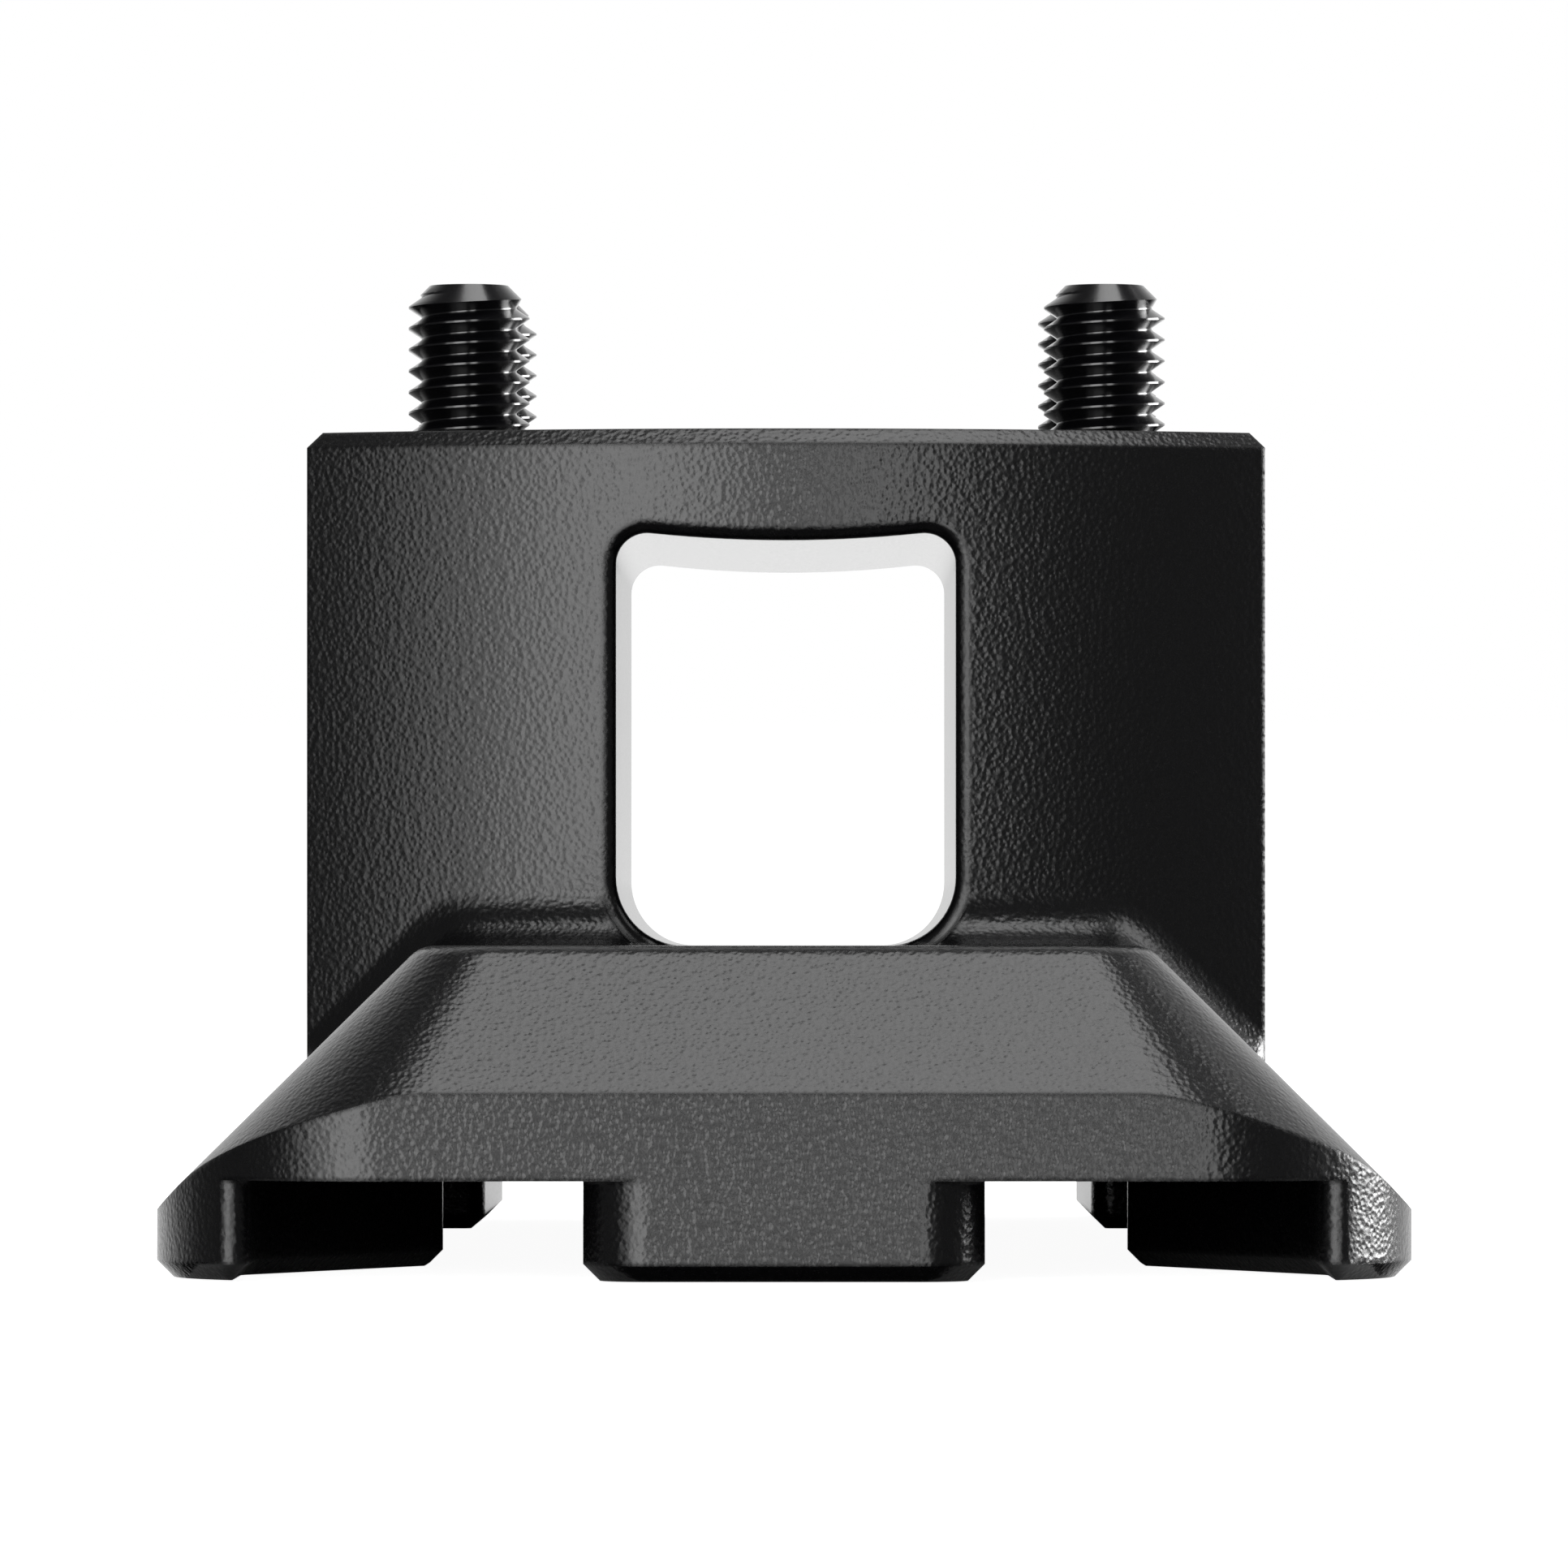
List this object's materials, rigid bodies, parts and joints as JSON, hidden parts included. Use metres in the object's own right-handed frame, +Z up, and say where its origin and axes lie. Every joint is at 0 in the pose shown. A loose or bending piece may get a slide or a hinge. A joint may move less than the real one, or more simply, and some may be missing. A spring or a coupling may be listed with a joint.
{
  "type": "lens support bracket",
  "caption": "Lens support bracket: a windowed block on a long sloped foot, bolted up into a lens collar by screws through its top.",
  "frame": {"origin": "under the middle of the foot, on the plane that its bottom tabs and rails stand on", "axes": "+X to the right, +Y from the front end with the small middle tab to the rear end, +Z up along the screws"},
  "size_m": [0.038, 0.087, 0.0318],
  "materials": {
    "black_coat": "black textured powder coat, fine leathery grain",
    "black_steel": "glossy black oxide"
  },
  "bodies": {
    "root": {"bracket_body": "black_coat", "screw_front_left": "black_steel", "screw_front_right": "black_steel", "screw_rear_left": "black_steel", "screw_rear_right": "black_steel"}
  },
  "joints": []
}
